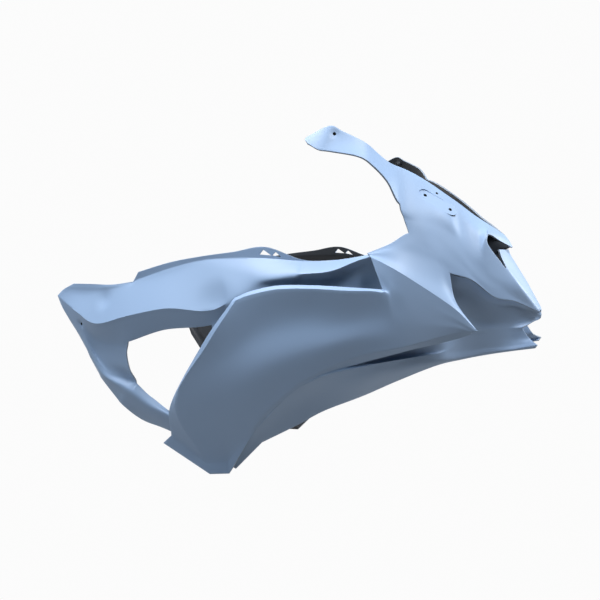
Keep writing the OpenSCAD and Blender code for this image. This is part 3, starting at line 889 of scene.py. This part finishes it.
@dataclass
class UpperCowl:
    """The nose, brow, screen arms and outer wings, moulded as one.

    Attributes:
        wall: Thickness of the moulding, in millimetres.
        mirror_pitch: Distance between the two mirror screws.
        mirror_hole_d: Clearance hole of each.
        mirror_pad_w: Width of the flat pad.
        mirror_pad_sink: Depth of the pad below the paint round it.
        mirror_pad_t: Thickness of the pad.
        screen_hole_d: Hole of the screen screw.
        arm_hole_d: Hole at the tip of each arm.
        dimple_d: Diameter of the dimple round it.
        dimple_fade_share: Where the dimple ends, as a share of its diameter.
        dimple_depth: Depth of the dimple.
        sleeve_len: How far the hole's sleeve reaches in behind the paint.
        recess_reach: How far the pad's recess cutter runs out past the paint.
        mirror_reach: Where the cutter of a mirror hole starts and ends on Z.
        screen_reach: The same for the screen hole.
        arm_reach: The same for the arm hole.
        mirror_spot: Control column and row of the mirror pad's middle.
        screen_spot: The same for the screen screw.
        arm_spot: The same for the hole at the arm's tip.
        lattice: The control points.
    """

    wall: float = 3.2
    mirror_pitch: float = 50.0
    mirror_hole_d: float = 6.6
    mirror_pad_w: float = 26.0
    mirror_pad_sink: float = 0.5
    mirror_pad_t: float = 5.0
    screen_hole_d: float = 5.2
    arm_hole_d: float = 6.4
    dimple_d: float = 17.0
    dimple_fade_share: float = 0.75
    dimple_depth: float = 1.4
    sleeve_len: float = 14.0
    recess_reach: float = 8.0
    mirror_reach: Reach = (-20.0, 20.0)
    screen_reach: Reach = (-12.0, 12.0)
    arm_reach: Reach = (-20.0, 12.0)
    mirror_spot: tuple[float, float] = (17 / 3, 1.5)
    screen_spot: tuple[float, float] = (17 / 3, 1.0)
    arm_spot: tuple[float, float] = (37 / 3, 0.5)
    lattice: Lattice = Lattice(
        COWL_COLUMNS,
        rows=16,
        gaps=((0, 2, 2, 3), (1, 2, 3, 4)),
        row_folds=((2, 0, 2), (8, 6, 10), (11, 10, 16), (14, 6, 16)),
        column_folds=((1, 3, 6), (14, 14, 15), (15, 10, 15)),
        mirrored=True,
        steps=(12, 8),
    )

    def build(self, palette: Palette) -> bpy.types.Object:
        """Builds and dresses the moulding.

        Args:
            palette: The finishes.

        Returns:
            The finished piece.
        """
        skin = Skin(self.lattice, self.wall)
        skin.dent(*self.arm_spot, self.dimple_d * self.dimple_fade_share, self.dimple_depth)
        piece = place_piece(skin.mesh("upper_cowl_shell"), "upper_cowl_shell")
        palette.dress(piece, palette.paint)
        recesses, pads, holes = [], [], []
        flat = stadium(self.mirror_pitch, self.mirror_pad_w)
        top, low = -self.mirror_pad_sink, -self.mirror_pad_sink - self.mirror_pad_t
        for sign in (1, -1):
            seat = skin.seat(*self.mirror_spot, sign)
            recesses.append(prism("recess", flat, top, self.recess_reach, seat))
            pads.append(prism("pad", flat, low, top, seat, Face.INSIDE))
            holes += [hole(self.mirror_hole_d, self.mirror_reach, seat, end * self.mirror_pitch)
                      for end in (-0.5, 0.5)]
            screen = skin.seat(*self.screen_spot, sign)
            holes.append(hole(self.screen_hole_d, self.screen_reach, screen))
            tip = skin.seat(*self.arm_spot, sign)
            pads.append(sleeve(self.arm_hole_d, self.sleeve_len, tip))
            holes.append(hole(self.arm_hole_d, self.arm_reach, tip))
        finish_shell(piece, [
            (Trim.CUT, joined("pad recesses", recesses)),
            (Trim.ADD, joined("mirror pads", pads)),
            (Trim.CUT, joined("screw holes", holes)),
        ])
        stand_in(piece, "upper_cowl")
        return piece


@dataclass
class SidePanel:
    """One inner skin: chin, shoulder, tab, and the tail with its window.

    Attributes:
        side: Which side of the motorcycle.
        wall: Thickness of the moulding, in millimetres.
        tail_hole_d: Hole near the tip of the tail.
        sleeve_len: How far its sleeve reaches in behind the paint.
        tail_bowl: Radius and depth of the bowl round it.
        tail_reach: Where the cutter of the tail hole starts and ends on Z.
        slot_len: Length of the rear slot in the tab.
        slot_h: Its height.
        front_slot_share: Size of the front slot against the rear one.
        painted_end: Control column up to which the chin is painted inside.
        tail_spot: Control column and row of the tail hole.
        slot_spots: The same for the two slots.
        soft_dents: Shallow bowls, each its column, row, radius and depth.
        slot_corners: Corners of a slot, as shares of its length and height.
        slot_reach: Where the cutter of a slot starts and ends on Z.
        lattice: The control points.
    """

    side: Side
    wall: float = 3.0
    tail_hole_d: float = 6.4
    sleeve_len: float = 12.0
    tail_bowl: tuple[float, float] = (13.0, 3.0)
    tail_reach: Reach = (-20.0, 11.0)
    slot_len: float = 26.0
    slot_h: float = 9.0
    front_slot_share: float = 0.8
    painted_end: float = 3.0
    tail_spot: tuple[float, float] = (16.0, 4.0)
    slot_spots: tuple[tuple[float, float], ...] = ((27 / 3, 0.5), (26 / 3, 0.5))
    soft_dents: tuple[tuple[float, ...], ...] = (
        (15.0, 2.2, 30.0, 3.0), (10.8, 2.9, 60.0, 6.0))
    slot_corners: tuple[tuple[float, float], ...] = (
        (-0.5, 0.5), (0.12, -0.5), (0.25, -0.5), (0.5, 0.5))
    slot_reach: Reach = (-11.0, 11.0)
    lattice: Lattice = Lattice(
        SKIN_COLUMNS,
        rows=11,
        gaps=((11, 13, 4, 7),),
        row_folds=((5, 0, 2), (8, 4, 10), (1, 7, 14), (2, 6, 8), (3, 10.5, 17)),
        column_folds=((9, 8, 10), (10, 8, 10), (13, 0, 1), (14, 0, 1)),
        steps=(12, 10),
    )

    def build(self, palette: Palette) -> bpy.types.Object:
        """Builds and dresses the skin.

        Args:
            palette: The finishes.

        Returns:
            The finished piece.
        """
        skin = Skin(self.lattice, self.wall)
        for soft in self.soft_dents:
            skin.dent(*soft)
        skin.dent(*self.tail_spot, *self.tail_bowl)
        name = f"{self.side.name.lower()}_side_panel_shell"
        piece = place_piece(skin.mesh(name, self.painted_end), name)
        palette.dress(piece, palette.paint)
        slot = np.array(self.slot_corners) * (self.slot_len, self.slot_h)
        tail = skin.seat(*self.tail_spot)
        cuts = [hole(self.tail_hole_d, self.tail_reach, tail)]
        for share, spot in zip((1.0, self.front_slot_share), self.slot_spots):
            cuts.append(prism("slot", slot * share, *self.slot_reach, skin.seat(*spot)))
        finish_shell(piece, [
            (Trim.ADD, joined("tail sleeve", [sleeve(self.tail_hole_d, self.sleeve_len, tail)])),
            (Trim.CUT, joined("screw hole and slots", cuts)),
        ])
        if self.side is Side.LEFT:
            self.mirror(piece.data)
        stand_in(piece, f"side_panel_{self.side.name.lower()}")
        return piece

    @staticmethod
    def mirror(mesh: bpy.types.Mesh) -> None:
        """Turns the right skin into the left one: Y changes sign and faces flip."""
        mesh.transform(Matrix.Diagonal((1, -1, 1, 1)))
        mesh.flip_normals()


@dataclass
class LampBlank:
    """The dark plate that closes the lamp openings under the brow.

    Attributes:
        wall: Thickness of the plate, in millimetres.
        lattice: The control points.
    """

    wall: float = 3.0
    lattice: Lattice = Lattice(BLANK_COLUMNS, rows=3, mirrored=True)

    def build(self, palette: Palette) -> bpy.types.Object:
        """Builds and dresses the plate.

        Args:
            palette: The finishes.

        Returns:
            The finished piece.
        """
        skin = Skin(self.lattice, self.wall)
        piece = place_piece(skin.mesh("lamp_blank_shell"), "lamp_blank_shell")
        palette.dress(piece, palette.blank)
        finish_shell(piece, [])
        stand_in(piece, "headlight_blank")
        return piece


# Studio


@dataclass(frozen=True)
class Lamp:
    """A square area lamp that looks at a point.

    Attributes:
        name: Name of the lamp.
        place: Where it stands, in metres.
        aim: What it looks at.
        size: Its side.
        power: Its power, in watts.
        colour: Its colour.
    """

    name: str
    place: tuple[float, float, float]
    aim: tuple[float, float, float]
    size: float
    power: float
    colour: tuple[float, float, float] = (1.0, 1.0, 1.0)

    def light(self) -> None:
        """Adds the lamp to the scene."""
        data = bpy.data.lights.new(self.name, "AREA")
        data.size, data.energy, data.color = self.size, self.power, self.colour
        lamp = bpy.data.objects.new(self.name, data)
        back = Vector(self.place) - Vector(self.aim)
        lamp.location = self.place
        lamp.rotation_mode = "QUATERNION"
        lamp.rotation_quaternion = back.to_track_quat("Z", "Y")
        bpy.context.collection.objects.link(lamp)


@dataclass
class Studio:
    """The pale floor, the soft lamps and the camera.

    Attributes:
        camera_at: Where the camera stands, in metres.
        azimuth: Degrees that its view turns left of +Y.
        elevation: Degrees that it looks down.
        lens: Focal length, in millimetres.
        sensor: Width of the sensor, in millimetres.
        clip: Nearest and farthest distance that the camera sees, in metres.
        floor_size: Half the side of the floor, in metres.
        floor_drop: How far the floor lies below the part, in metres.
        floor_colour: What the lamps find on the floor.
        sky_colour: Colour of the soft sky.
        sky_strength: Its strength.
        ground: The nearly white ground that the camera sees.
        lamps: The lamps.
    """

    camera_at: tuple[float, float, float] = (0.58365, -1.082, 0.48588)
    azimuth: float = 27.2
    elevation: float = 5.6
    lens: float = 33.0
    sensor: float = 36.0
    clip: tuple[float, float] = (0.05, 100.0)
    floor_size: float = 30.0
    floor_drop: float = 0.001
    floor_colour: tuple[float, ...] = (0.2, 0.19, 0.175, 1.0)
    sky_colour: tuple[float, ...] = (0.66, 0.82, 1.0, 1.0)
    sky_strength: float = 0.03
    ground: tuple[float, ...] = (0.97, 0.97, 0.97, 1.0)
    lamps: tuple[Lamp, ...] = (
        Lamp("front", (1.5, -0.6, 3.1), (0.0, 0.0, 0.35), 1.3, 96.0),
        Lamp("rear", (-1.6, -0.7, 3.1), (0.0, 0.0, 0.35), 1.3, 100.0),
        Lamp("left", (-1.8, -2.4, 1.9), (0.0, 0.0, 0.35), 1.3, 19.0, (0.7, 0.87, 1.0)),
        Lamp("nose", (2.3, 1.8, 1.3), (0.5, 0.0, 0.4), 1.0, 55.0, (0.92, 0.97, 1.0)),
    )

    def build(self) -> None:
        """Builds the floor, the world, the lamps and the camera."""
        self.floor()
        self.world()
        for lamp in self.lamps:
            lamp.light()
        data = bpy.data.cameras.new("camera")
        data.lens, data.sensor_width = self.lens, self.sensor
        data.clip_start, data.clip_end = self.clip
        camera = bpy.data.objects.new("camera", data)
        camera.location = self.camera_at
        camera.rotation_euler = (math.radians(90 - self.elevation), 0, math.radians(self.azimuth))
        bpy.context.collection.objects.link(camera)
        bpy.context.scene.camera = camera
        bpy.context.scene.view_settings.view_transform = "Standard"

    def floor(self) -> None:
        """Adds the floor, matt to the lamps and nearly white to the camera."""
        s, low = self.floor_size, -self.floor_drop
        corners = np.array([(-s, -s, low), (s, -s, low), (s, s, low), (-s, s, low)])
        plane = place_piece(new_mesh("floor", corners, np.arange(4)[None], np.zeros(1)), "floor")
        finish = bpy.data.materials.new("pale floor")
        tree = Tree(finish)
        seen = tree.node("ShaderNodeLightPath", take="Is Camera Ray")
        mirrored = tree.node("ShaderNodeLightPath", take="Is Glossy Ray")
        matt = tree.node("ShaderNodeBsdfDiffuse", {}, Color=self.floor_colour)
        glow = tree.node("ShaderNodeEmission", {}, Color=self.ground, Strength=1.0)
        share = (seen + mirrored).math("MINIMUM", 1.0)
        mixed = tree.node("ShaderNodeMixShader", {}, share, matt, glow)
        tree.node("ShaderNodeOutputMaterial", {}, mixed)
        plane.data.materials.append(finish)

    def world(self) -> None:
        """Sets a soft sky, nearly white where the camera sees it."""
        world = bpy.data.worlds.new("studio")
        tree = Tree(world)
        seen = tree.node("ShaderNodeLightPath", take="Is Camera Ray")
        soft = tree.node("ShaderNodeBackground", {}, Color=self.sky_colour,
                         Strength=self.sky_strength)
        white = tree.node("ShaderNodeBackground", {}, Color=self.ground, Strength=1.0)
        tree.node("ShaderNodeOutputWorld", {},
                  tree.node("ShaderNodeMixShader", {}, seen, soft, white))
        bpy.context.scene.world = world


def main() -> None:
    """Builds the sub-assemblies in order, then the studio."""
    logging.basicConfig(level=logging.INFO, format="%(name)s: %(message)s")
    palette = Palette()
    UpperCowl().build(palette)
    for side in Side:
        SidePanel(side).build(palette)
    LampBlank().build(palette)
    Studio().build()


if __name__ == "__main__":
    main()
